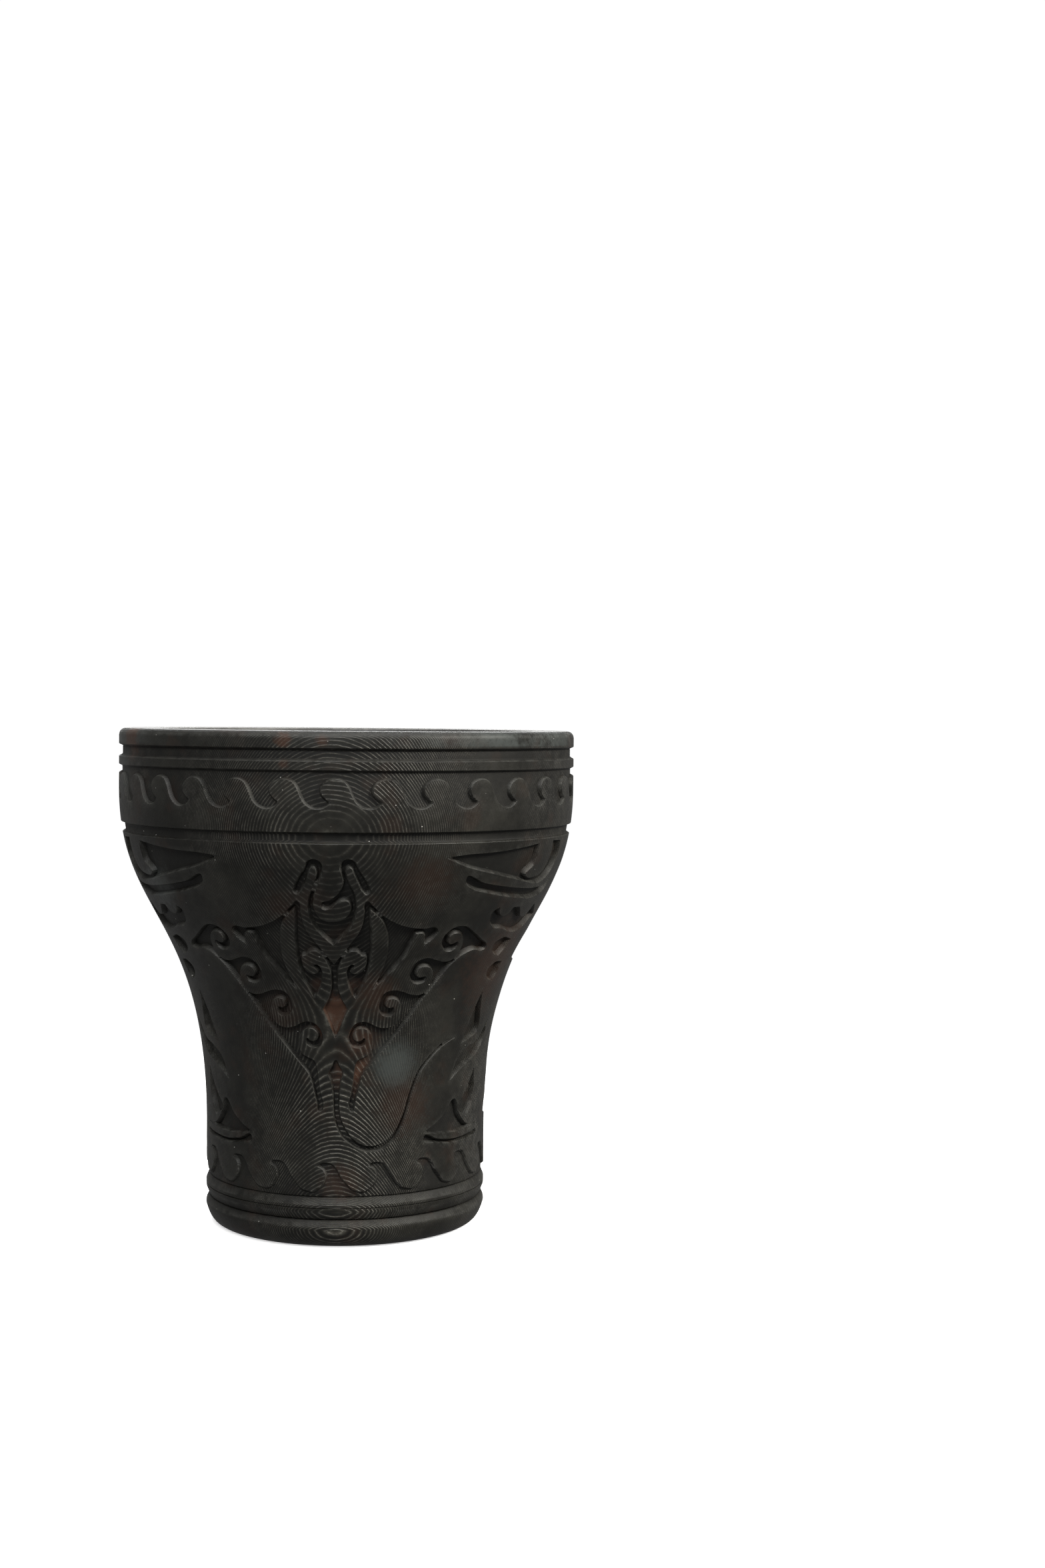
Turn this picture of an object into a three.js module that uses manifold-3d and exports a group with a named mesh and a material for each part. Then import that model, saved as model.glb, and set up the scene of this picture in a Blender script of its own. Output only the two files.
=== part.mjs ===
// Black clay hookah bowl with its silicone stem seal.
// Millimetres, +Z up, origin at the middle of the foot's underside; -Y is the carved front.
import * as THREE from 'three';
import { mergeVertices } from 'three/addons/utils/BufferGeometryUtils.js';
import Module from 'manifold-3d';

const wasm = await Module();
wasm.setup();

// Driving dimensions
const bowlHeight = 86.7;
const rimRadius = 40;
const stemRadius = 24.6;
const bandDepth = 0.65; // depth of the turned grooves
const bandEdge = 0.25; // soft edge on each side of a groove

// Grooves under the rim and above the foot: distance from the rim or from the foot to each edge
const rimGrooves = [
  { upper: 2.6, lower: 4.6 },
  { upper: 6.3, lower: 8.1 },
  { upper: 16.1, lower: 18.0 },
];
const footGrooves = [
  { lower: 4.6, upper: 5.3 },
  { lower: 7.2, upper: 8.9 },
];

// Flare between the straight stem and the straight rim band: ends and handle lengths
const flareFoot = 16.7;
const flareDrop = 10.3; // from the rim down to the end of the flare
const flareFootHandle = 37.8;
const flareRimHandle = 23.2;
const flareSteps = 12;

// Edges of the clay
const rimEdge = 0.6;
const footEdge = 2.6;

// Cup: a spherical hollow below the flat rim
const rimWall = 6.6;
const cupDepth = 21;
const cupLedge = 0.8; // short straight wall at the mouth
const cupSteps = 9;

// Smoke chamber, between the cup floor and the stem socket
const floorThickness = 8;
const chamberRadius = 25.5;
const chamberWallHeight = 3;
const neckRadius = 12.6;
const neckHeight = 34;
const chamberSteps = 6;

// Stem socket: a cone that opens downwards, with a chamfered mouth
const socketMouthRadius = 16.5;
const mouthChamfer = 0.8;

// Smoke holes, drilled parallel to the axis
const holeRadius = 3.4;
const holeRing = 19.5;
const ringHoles = 6;
const holeOverrun = 3;

// Stem seal: a ribbed conical sleeve
const sealClearance = 0.3;
const sealBottom = 9;
const sealHeight = 20;
const sealBoreRadius = 8.6;
const sealBoreTaper = 0.6; // how much wider the bore is at its mouth
const sealLipHeight = 2.4;
const sealRibs = 3;
const sealRibHeight = 2.2;
const sealRibDepth = 0.9;

const turns = 60;
const holeSides = 20;

const socketTaper = (socketMouthRadius - neckRadius) / neckHeight;

// Radius of the socket's cone at a height
function socketRadius(z) {
  return socketMouthRadius - socketTaper * z;
}

// Outer skin without grooves: points from the foot up to the rim band
function flareCurve() {
  const rimEnd = bowlHeight - flareDrop;
  return new THREE.CubicBezierCurve(
    new THREE.Vector2(stemRadius, flareFoot),
    new THREE.Vector2(stemRadius, flareFoot + flareFootHandle),
    new THREE.Vector2(rimRadius, rimEnd - flareRimHandle),
    new THREE.Vector2(rimRadius, rimEnd),
  );
}

// Radius of the ungrooved skin at a height
function skinRadius(z, flare) {
  if (z <= flare[0].y) return flare[0].x;
  for (let i = 1; i < flare.length; i += 1) {
    if (z <= flare[i].y) {
      const part = (z - flare[i - 1].y) / (flare[i].y - flare[i - 1].y);
      return flare[i - 1].x + part * (flare[i].x - flare[i - 1].x);
    }
  }
  return flare[flare.length - 1].x;
}

// The four corners of a groove with soft edges, from its lower edge to its upper edge
function grooveCorners(low, high, flare) {
  return [
    new THREE.Vector2(skinRadius(low, flare), low),
    new THREE.Vector2(skinRadius(low, flare) - bandDepth, low + bandEdge),
    new THREE.Vector2(skinRadius(high, flare) - bandDepth, high - bandEdge),
    new THREE.Vector2(skinRadius(high, flare), high),
  ];
}

function outerSkin() {
  const flare = flareCurve().getPoints(flareSteps);
  const grooves = [
    ...footGrooves.map((g) => [g.lower, g.upper]),
    ...rimGrooves.map((g) => [bowlHeight - g.lower, bowlHeight - g.upper]),
  ];
  const outside = (p) => grooves.every(([low, high]) => p.y < low || p.y > high);
  const corners = grooves.flatMap(([low, high]) => grooveCorners(low, high, flare));
  const foot = [
    new THREE.Vector2(stemRadius - footEdge, 0),
    new THREE.Vector2(stemRadius - footEdge * 0.38, footEdge * 0.38),
    new THREE.Vector2(stemRadius, footEdge),
  ];
  const rim = [
    new THREE.Vector2(rimRadius, bowlHeight - rimEdge),
    new THREE.Vector2(rimRadius - rimEdge, bowlHeight),
  ];
  const middle = [...flare.filter(outside), ...corners].sort((a, b) => a.y - b.y);
  return [...foot, ...middle, ...rim];
}

// Centre height and radius of the sphere that the cup is part of
function cupSphere() {
  const mouth = rimRadius - rimWall;
  const depth = cupDepth - cupLedge;
  const radius = (mouth * mouth + depth * depth) / (2 * depth);
  return { mouth, radius, centre: bowlHeight - cupDepth + radius };
}

function cupSkin() {
  const { mouth, radius, centre } = cupSphere();
  const widest = Math.asin(mouth / radius);
  const points = [new THREE.Vector2(mouth, bowlHeight)];
  for (let i = cupSteps; i >= 0; i -= 1) {
    const angle = (widest * i) / cupSteps;
    points.push(new THREE.Vector2(radius * Math.sin(angle), centre - radius * Math.cos(angle)));
  }
  return points;
}

// Height of the chamber's ceiling at a radius: the cup's floor, one thickness further out
function ceilingHeight(r) {
  const { radius, centre } = cupSphere();
  const outer = radius + floorThickness;
  return centre - Math.sqrt(outer * outer - r * r);
}

// Ceiling from the axis outwards, then down the funnel to the neck and out through the socket
function chamberSkin() {
  const points = [];
  for (let i = 0; i <= chamberSteps; i += 1) {
    const r = (chamberRadius * i) / chamberSteps;
    points.push(new THREE.Vector2(r, ceilingHeight(r)));
  }
  const shoulder = ceilingHeight(chamberRadius) - chamberWallHeight;
  const funnel = new THREE.CubicBezierCurve(
    new THREE.Vector2(chamberRadius, shoulder),
    new THREE.Vector2(chamberRadius, shoulder - (shoulder - neckHeight) * 0.45),
    new THREE.Vector2(neckRadius, neckHeight + (shoulder - neckHeight) * 0.5),
    new THREE.Vector2(neckRadius, neckHeight),
  );
  points.push(...funnel.getPoints(chamberSteps));
  points.push(new THREE.Vector2(socketRadius(mouthChamfer), mouthChamfer));
  points.push(new THREE.Vector2(socketMouthRadius + mouthChamfer, 0));
  return points;
}

// Drill positions: one in the middle and a ring around it
function holeCentres() {
  const centres = [new THREE.Vector2(0, 0)];
  for (let i = 0; i < ringHoles; i += 1) {
    const angle = (2 * Math.PI * i) / ringHoles - Math.PI / 2;
    centres.push(new THREE.Vector2(holeRing * Math.cos(angle), holeRing * Math.sin(angle)));
  }
  return centres;
}

// A drill that runs from inside the chamber to inside the cup
function drill(centre) {
  const low = bowlHeight - cupDepth - floorThickness - holeOverrun;
  const high = bowlHeight - holeOverrun;
  const geometry = new THREE.CylinderGeometry(holeRadius, holeRadius, high - low, holeSides);
  geometry.rotateX(Math.PI / 2);
  geometry.translate(centre.x, centre.y, (low + high) / 2);
  return geometry;
}

function toSolid(geometry) {
  const bare = geometry.clone();
  bare.deleteAttribute('normal');
  bare.deleteAttribute('uv');
  const merged = mergeVertices(bare, 1e-4);
  return new wasm.Manifold(new wasm.Mesh({
    numProp: 3,
    vertProperties: merged.attributes.position.array,
    triVerts: new Uint32Array(merged.index.array),
  }));
}

function toGeometry(solid) {
  const mesh = solid.getMesh();
  const geometry = new THREE.BufferGeometry();
  geometry.setAttribute('position', new THREE.BufferAttribute(mesh.vertProperties, 3));
  geometry.setIndex(new THREE.BufferAttribute(mesh.triVerts, 1));
  geometry.computeVertexNormals();
  return geometry;
}

// A lathe body about Z, from a profile of radius and height
function turned(profile) {
  const geometry = new THREE.LatheGeometry(profile, turns);
  geometry.rotateX(Math.PI / 2);
  return geometry;
}

function bowlGeometry() {
  const profile = [...chamberSkin(), ...outerSkin(), ...cupSkin()];
  profile[0].x = 0;
  profile[profile.length - 1].x = 0;
  let solid = toSolid(turned(profile));
  for (const centre of holeCentres()) {
    solid = solid.subtract(toSolid(drill(centre)));
  }
  return toGeometry(solid);
}

// Sleeve outline: a lip at the bottom, then ribs that follow the socket's cone
function sealProfile() {
  const top = sealBottom + sealHeight;
  const outer = (z) => socketRadius(z) - sealClearance;
  const points = [
    new THREE.Vector2(sealBoreRadius + sealBoreTaper, sealBottom),
    new THREE.Vector2(outer(sealBottom), sealBottom),
    new THREE.Vector2(outer(sealBottom + sealLipHeight), sealBottom + sealLipHeight),
  ];
  const pitch = (sealHeight - sealLipHeight) / sealRibs;
  for (let i = 0; i < sealRibs; i += 1) {
    const ribTop = sealBottom + sealLipHeight + pitch * (i + 1);
    const ribLow = ribTop - sealRibHeight;
    const valley = ribTop - pitch;
    points.push(new THREE.Vector2(outer(valley) - sealRibDepth, valley + sealRibDepth / 2));
    points.push(new THREE.Vector2(outer(ribLow) - sealRibDepth, ribLow - sealRibDepth / 2));
    points.push(new THREE.Vector2(outer(ribLow), ribLow));
    points.push(new THREE.Vector2(outer(ribTop), ribTop));
  }
  points.push(new THREE.Vector2(sealBoreRadius, top));
  points.push(points[0].clone());
  return points;
}

function piece(name, geometry, color, roughness) {
  const material = new THREE.MeshStandardMaterial({ color, roughness, metalness: 0 });
  const mesh = new THREE.Mesh(geometry, material);
  mesh.name = name;
  return mesh;
}

const group = new THREE.Group();
group.add(piece('clay_bowl', bowlGeometry(), 0x23221f, 0.6));
group.add(piece('stem_seal', turned(sealProfile()), 0x17181a, 0.75));

export default group;
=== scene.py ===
import math

import bmesh
import bpy
import numpy as np
from mathutils import Matrix, Vector
from mathutils.geometry import delaunay_2d_cdt


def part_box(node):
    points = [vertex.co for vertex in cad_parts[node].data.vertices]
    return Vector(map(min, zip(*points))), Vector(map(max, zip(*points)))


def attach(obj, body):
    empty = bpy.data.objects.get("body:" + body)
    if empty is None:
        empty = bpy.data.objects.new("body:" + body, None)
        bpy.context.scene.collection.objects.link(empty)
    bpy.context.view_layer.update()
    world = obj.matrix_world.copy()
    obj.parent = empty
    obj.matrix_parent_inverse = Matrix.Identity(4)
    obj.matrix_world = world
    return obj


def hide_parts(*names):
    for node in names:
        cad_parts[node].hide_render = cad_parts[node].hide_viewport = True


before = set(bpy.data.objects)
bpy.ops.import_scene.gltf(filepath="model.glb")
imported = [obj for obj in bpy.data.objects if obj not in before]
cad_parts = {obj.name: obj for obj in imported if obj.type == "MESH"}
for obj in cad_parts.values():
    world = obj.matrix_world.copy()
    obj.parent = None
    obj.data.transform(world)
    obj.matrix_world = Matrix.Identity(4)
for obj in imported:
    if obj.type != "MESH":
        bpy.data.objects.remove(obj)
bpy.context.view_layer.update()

mm = 0.001
seam = 4e-6        # points nearer than this are one, in metres
scene = bpy.context.scene


class Wire:
    # an output socket of a node, with sums written as Python
    def __init__(self, tree, socket):
        self.tree = tree
        self.socket = socket

    def calc(self, operation, *others):
        inputs = dict(enumerate((self,) + others))
        return make(self.tree, "ShaderNodeMath", {"operation": operation}, inputs)

    def __add__(self, other):
        return self.calc("ADD", other)

    def __radd__(self, other):
        return self.calc("ADD", other)

    def __sub__(self, other):
        return self.calc("SUBTRACT", other)

    def __rsub__(self, other):
        return make(self.tree, "ShaderNodeMath", {"operation": "SUBTRACT"}, {0: other, 1: self})

    def __mul__(self, other):
        return self.calc("MULTIPLY", other)

    def __rmul__(self, other):
        return self.calc("MULTIPLY", other)

    def __truediv__(self, other):
        return self.calc("DIVIDE", other)

    def __pow__(self, other):
        return self.calc("POWER", other)

    def __neg__(self):
        return self.calc("MULTIPLY", -1.0)


def make(tree, kind, settings=None, inputs=None, output=0):
    # adds a node, sets it up, plugs its inputs and gives back one output
    node = tree.nodes.new(kind)
    for name, value in (settings or {}).items():
        if name == "stops":
            setStops(node.color_ramp, value)
        else:
            setattr(node, name, value)
    for name, value in (inputs or {}).items():
        socket = node.inputs[name]
        if isinstance(value, Wire):
            tree.links.new(value.socket, socket)
        else:
            socket.default_value = value
    return Wire(tree, node.outputs[output])


def setStops(ramp, stops):
    while len(ramp.elements) < len(stops):
        ramp.elements.new(1.0)
    for element, (place, colour) in zip(ramp.elements, stops):
        element.position = place
        element.color = colour


def newMesh(name, verts, faces):
    mesh = bpy.data.meshes.new(name)
    mesh.from_pydata([tuple(v) for v in verts], [], [tuple(f) for f in faces])
    mesh.update()
    return mesh


def newObject(name, mesh):
    thing = bpy.data.objects.new(name, mesh)
    scene.collection.objects.link(thing)
    return thing


bowlLow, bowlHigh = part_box("clay_bowl")
body = {
    "height": bowlHigh[2] / mm,
    "rimRadius": bowlHigh[0] / mm,
    "stemRadius": 24.6,
    "flareFoot": 16.7,
    "flareDrop": 10.3,
    "flareFootHandle": 37.8,
    "flareRimHandle": 23.2,
    "footEdge": 3.1,          # height of the foot's rounded edge
    "footLean": 0.75,
    "footRise": 0.3,
    "footFlat": 22.5,         # outer radius of the flat ring that it stands on
    "rimEdge": 1.2,
    "rimWall": 6.6,
    "innerEdge": [(0, 0.35), (0.12, 0.1), (0.4, 0)],    # broken edge at the cup's mouth: out and down
    "cupDepth": 21.0,
    "cupLedge": 0.8,
    "floor": 8.0,
    "chamberRadius": 25.5,
    "chamberWall": 3.0,
    "neckRadius": 12.6,
    "neckHeight": 34.0,
    "socketMouth": 16.5,
    "mouthChamfer": 0.8,
    "chamberPull": (0.45, 0.5),    # how full the chamber's curve is above and below
    "holeRadius": 3.4,
    "holeRing": 19.5,
    "ringHoles": 6,
    "holeLow": 52.0,
    "holeHigh": 82.0,
    "holeSides": 48,
    "turns": 360,             # points round the outside; the inside has a third as many
    "steps": {"cup": 24, "rim": 4, "foot": 8, "chamber": 14, "ceiling": 12},
    "crease": 27,             # degrees between faces that make a sharp edge
}
# the turned bands: how far down from the rim or up from the foot, and how deep in
rimBands = [(2.7, 0), (2.76, 0.07), (3.02, 0.62), (3.1, 0.7), (3.25, 0.66), (4.4, 0.66), (4.5, 0.6),
            (4.82, 0.06), (4.9, 0), (6.2, 0), (6.26, 0.06), (6.52, 0.54), (6.62, 0.6)]
middleGroove = [(16.1, 0), (16.16, 0.05), (16.35, 0.55), (16.55, 0.62), (17.5, 0.62), (17.75, 0.5),
                (17.95, 0.05), (18.05, 0)]
footBands = [(8.85, 0.5), (8.75, 0.54), (8.62, 0.8), (8.5, 0.52), (8.38, 0.46), (7.4, 0.06), (7.2, 0),
             (6.86, 0), (6.76, 0.2), (6.66, 0), (6.2, 0.02), (6.0, 0.08), (5.0, 0.5), (4.88, 0.58),
             (4.75, 1.0), (4.62, 0.56), (4.5, 0.46), (3.7, 0.08), (3.4, 0.01), (3.1, 0)]


def bezier(ends, t):
    p0, p1, p2, p3 = ends
    s = 1 - t
    return s ** 3 * p0 + 3 * s * s * t * p1 + 3 * s * t * t * p2 + t ** 3 * p3


def flareTable(steps=600):
    b = body
    t = np.linspace(0, 1, steps)
    top = b["height"] - b["flareDrop"]
    r = bezier((b["stemRadius"], b["stemRadius"], b["rimRadius"], b["rimRadius"]), t)
    z = bezier((b["flareFoot"], b["flareFoot"] + b["flareFootHandle"], top - b["flareRimHandle"], top), t)
    return z, r


flareZ, flareR = flareTable()


def skinRadius(z):
    return np.interp(z, flareZ, flareR)


def skinSlope(z):
    step = 0.25
    return (skinRadius(np.asarray(z) + step) - skinRadius(np.asarray(z) - step)) / (2 * step)


carving = {
    "depth": 0.85,
    "waveDepth": 0.6,
    "footWaveDepth": 0.5,
    "wall": 0.3,         # how far a pocket's wall leans in
    "brokenEdge": 0.07,  # width of the softened edge round a pocket
    "wornHighlightEdge": 0.11,    # width of the rubbed line along it, which is also painted as a highlight
    "sample": 0.28,
    "fill": 0.95,
    "clear": 0.42,
}


def smoothLoop(points, scale, closed=True):
    # a curve through the points; a point with a third value is a corner
    places = [np.array(p[:2], float) * (scale, 1.0) for p in points]
    corner = [len(p) > 2 for p in points]
    count = len(points)
    out = []
    for i in range(count if closed else count - 1):
        j = (i + 1) % count
        a, b = places[i], places[j]
        before = a if corner[i] or (not closed and i == 0) else places[i - 1]
        after = b if corner[j] or (not closed and j == count - 1) else places[(j + 1) % count]
        length = np.linalg.norm(b - a)
        steps = max(1, round(length / carving["sample"]))
        m0 = tangent(before, a, b) * length
        m1 = tangent(a, b, after) * length
        for k in range(steps):
            t = k / steps
            out.append((2 * t ** 3 - 3 * t * t + 1) * a + (t ** 3 - 2 * t * t + t) * m0
                       + (3 * t * t - 2 * t ** 3) * b + (t ** 3 - t * t) * m1)
    if not closed:
        out.append(places[-1])
    return np.array(out)


def tangent(before, here, after):
    # direction of the curve at a point, weighted by the lengths on both sides
    back, ahead = here - before, after - here
    lengthBack, lengthAhead = np.linalg.norm(back), np.linalg.norm(ahead)
    if lengthBack < 1e-9 or lengthAhead < 1e-9:
        way = back + ahead
        return way / max(np.linalg.norm(way), 1e-9)
    way = back / lengthBack * lengthAhead + ahead / lengthAhead * lengthBack
    return way / max(np.linalg.norm(way), 1e-9)


def distanceTo(points, starts, ends):
    # distance from each point to the nearest outline piece
    out = np.empty(len(points))
    run = ends - starts
    size = np.maximum((run ** 2).sum(1), 1e-12)
    for i in range(0, len(points), 400):
        gap = points[i:i + 400, None, :] - starts[None]
        share = np.clip((gap * run[None]).sum(2) / size, 0, 1)
        out[i:i + 400] = np.sqrt(((gap - share[..., None] * run[None]) ** 2).sum(2).min(1))
    return out


def insideLoops(points, starts, ends):
    # even-odd test against all outlines at once
    out = np.empty(len(points), bool)
    for i in range(0, len(points), 400):
        x, y = points[i:i + 400, :1], points[i:i + 400, 1:]
        above = (starts[None, :, 1] > y) != (ends[None, :, 1] > y)
        rise = ends[None, :, 1] - starts[None, :, 1]
        rise = np.where(np.abs(rise) < 1e-12, 1e-12, rise)
        run = ends[None, :, 0] - starts[None, :, 0]
        cross = starts[None, :, 0] + (y - starts[None, :, 1]) / rise * run
        out[i:i + 400] = ((above & (x < cross)).sum(1) % 2) == 1
    return out


def loopSegments(loops):
    starts = np.vstack(loops)
    ends = np.vstack([np.roll(loop, -1, axis=0) for loop in loops])
    return starts, ends


def offsetRing(loop, shift, starts, ends):
    # a loop's points moved sideways; those that end up nearer to another wall are left out
    way = np.roll(loop, -1, axis=0) - np.roll(loop, 1, axis=0)
    way /= np.maximum(np.linalg.norm(way, axis=1), 1e-9)[:, None]
    turned = np.stack([-way[:, 1], way[:, 0]], 1)
    x, y = loop[:, 0], loop[:, 1]
    area = (x * np.roll(y, -1) - np.roll(x, -1) * y).sum()
    moved = loop + turned * (shift if area > 0 else -shift)
    return moved, distanceTo(moved, starts, ends) > abs(shift) * 0.9


def carvedSheet(name, loops, left, right, low, high, depth, columns):
    # a flat sheet with pockets, in mm, meshed so that every outline is an edge
    c = carving
    starts, ends = loopSegments(loops)
    points, links = [], []

    def addChain(chain, keep, closed):
        index = []
        for place, kept in zip(chain, keep):
            index.append(len(points) if kept else None)
            if kept:
                points.append(place)
        pairs = zip(index, index[1:] + index[:1]) if closed else zip(index, index[1:])
        links.extend((a, b) for a, b in pairs if a is not None and b is not None)

    for loop in loops:
        addChain(loop, [True] * len(loop), True)
        for shift in (c["wall"], -c["brokenEdge"]):
            moved, keep = offsetRing(loop, shift, starts, ends)
            addChain(moved, keep, True)
    rows = max(2, round((high - low) / c["fill"]))
    across = np.linspace(left, right, columns + 1)
    up = np.linspace(low, high, rows + 1)
    for height in (low, high):
        addChain([(x, height) for x in across], [True] * len(across), False)
    for x in (left, right):
        addChain([(x, y) for y in up], [True] * len(up), False)
    step = (right - left) / max(2, round((right - left) / c["fill"]))
    grid = [(left + step * (i + 0.5 * (j % 2)), y)
            for j, y in enumerate(up[1:-1]) for i in range(1, round((right - left) / step))]
    grid = np.array(grid)
    grid = grid[(distanceTo(grid, starts, ends) > c["clear"]) & (grid[:, 0] < right - 0.3)]
    points.extend(grid)

    verts, _, faces = delaunay_2d_cdt([Vector(p) for p in points], links, [], 0, 1e-5)[:3]
    verts = np.array([tuple(v) for v in verts])
    faces = np.array([tuple(f) for f in faces])
    middle = verts[faces].mean(1)
    inside = ((middle[:, 0] > left) & (middle[:, 0] < right) & (middle[:, 1] > low) & (middle[:, 1] < high))
    faces = faces[inside]
    used = np.unique(faces)
    renumber = np.full(len(verts), -1)
    renumber[used] = np.arange(len(used))
    verts, faces = verts[used], renumber[faces]
    gap = distanceTo(verts, starts, ends)
    signed = np.where(insideLoops(verts, starts, ends), gap, -gap)
    sink = depth * np.interp(signed, [-c["brokenEdge"], 0, c["wall"]], [0, 0.1, 1])
    # the rubbed line along each outline, also painted as a highlight
    wearAndHighlight = np.interp(np.abs(signed), [0, c["wornHighlightEdge"]], [1, 0])
    print(name, len(verts), "points", len(faces), "faces")
    return verts, faces, sink, wearAndHighlight


# upper waves: the recess hangs from the ring and each wave's foot curls to the right
upperWave = [(-10.5, 79.0), (-9.0, 78.65), (-7.9, 77.7), (-7.1, 76.4), (-6.1, 75.2), (-4.6, 74.45),
             (-2.8, 74.25), (-1.2, 74.6), (0.0, 75.3, 1), (-1.2, 75.9), (-2.2, 76.8), (-2.1, 77.9),
             (-0.7, 78.75)]
# foot waves: the recess stands on the groove and each crest curls to the left
footWave = [(-10.6, 9.65), (-8.8, 9.6), (-6.6, 10.2), (-4.3, 11.4), (-3.9, 12.3), (-4.9, 13.3),
            (-7.2, 13.85, 1), (-6.2, 14.35), (-4.0, 14.5), (-1.6, 14.35), (0.6, 13.4), (2.2, 12.1),
            (4.2, 11.1), (6.6, 10.0)]

# the ray: points of its left half; the right half mirrors it
headLeft = [(0, 55.8), (-2.0, 55.9), (-3.9, 56.7), (-4.85, 58.2), (-4.4, 60.3), (-3.5, 61.9),
            (-2.5, 63.4), (-2.1, 64.9), (-2.8, 65.9), (-4.2, 66.25), (-5.6, 65.9), (-6.4, 65.0),
            (-7.1, 64.1), (-8.4, 62.9), (-9.4, 61.6), (-9.8, 60.9), (-8.9, 60.4), (-7.7, 61.0),
            (-6.4, 62.6), (-5.4, 64.0), (-4.9, 64.8), (-4.2, 65.0), (-3.7, 64.4), (-4.1, 62.6),
            (-4.9, 61.3), (-5.8, 60.1), (-6.4, 58.4), (-6.1, 56.5), (-5.0, 54.8), (-3.2, 53.5),
            (-1.1, 52.3), (0, 51.8, 1)]
headRight = [(1.1, 52.3), (3.2, 53.5), (5.0, 54.8), (6.1, 56.5), (6.4, 58.6), (5.8, 60.4), (4.9, 61.7),
             (4.1, 62.9), (3.7, 64.4), (4.2, 65.0), (4.9, 64.8), (5.4, 64.0), (6.4, 62.6), (7.7, 61.0),
             (8.9, 60.4), (9.8, 60.9), (9.4, 61.6), (8.4, 62.9), (7.1, 64.1), (6.4, 65.0), (5.6, 65.9),
             (4.2, 66.25), (2.8, 65.9), (2.1, 64.9), (2.6, 63.6), (2.9, 62.5), (2.2, 61.2),
             (0.9, 60.1), (-0.9, 59.35), (-2.6, 59.05), (-2.95, 58.4), (-2.2, 57.9), (-0.6, 58.05),
             (1.0, 58.8), (2.6, 59.4), (4.1, 59.3), (4.9, 58.4), (4.3, 57.0), (2.6, 56.1)]
bodyLeft = [(0, 48.4, 1), (-2.3, 50.0), (-4.8, 51.9), (-7.2, 53.9), (-8.2, 55.7), (-8.4, 57.3),
            (-8.4, 58.8), (-9.0, 59.3), (-10.4, 58.6), (-14.0, 56.6), (-17.6, 55.4), (-21.7, 54.65),
            (-26.0, 54.35), (-29.8, 54.4), (-30.7, 53.7), (-29.9, 52.8), (-27.2, 51.5, 1),
            (-26.8, 53.1, 1), (-26.0, 53.6), (-23.9, 53.5, 1), (-23.1, 51.7), (-21.8, 49.7),
            (-20.0, 48.2), (-17.4, 46.6), (-15.0, 45.2), (-12.5, 44.0, 1), (-14.8, 46.8),
            (-15.9, 49.3), (-15.9, 51.7), (-15.0, 54.1), (-13.4, 56.0), (-10.0, 57.9, 1),
            (-10.4, 55.8), (-11.0, 53.0), (-11.3, 50.9), (-11.1, 48.6), (-10.4, 46.5), (-9.0, 44.5),
            (-7.0, 42.5, 1), (-5.9, 43.2), (-4.7, 44.4), (-4.0, 45.9), (-3.8, 47.1), (-4.5, 48.0),
            (-5.6, 48.4), (-6.4, 48.1), (-5.7, 47.6), (-5.1, 47.1), (-6.3, 46.75), (-8.4, 47.05),
            (-9.6, 47.9), (-9.9, 48.9), (-9.5, 49.9), (-8.6, 49.9), (-7.1, 50.6), (-4.9, 50.7),
            (-2.9, 49.5), (-1.6, 47.9), (-1.0, 46.1), (-1.2, 44.2), (-2.3, 42.4), (-4.3, 40.7, 1)]
bodyFoot = [(0, 35.6, 1)]
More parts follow.
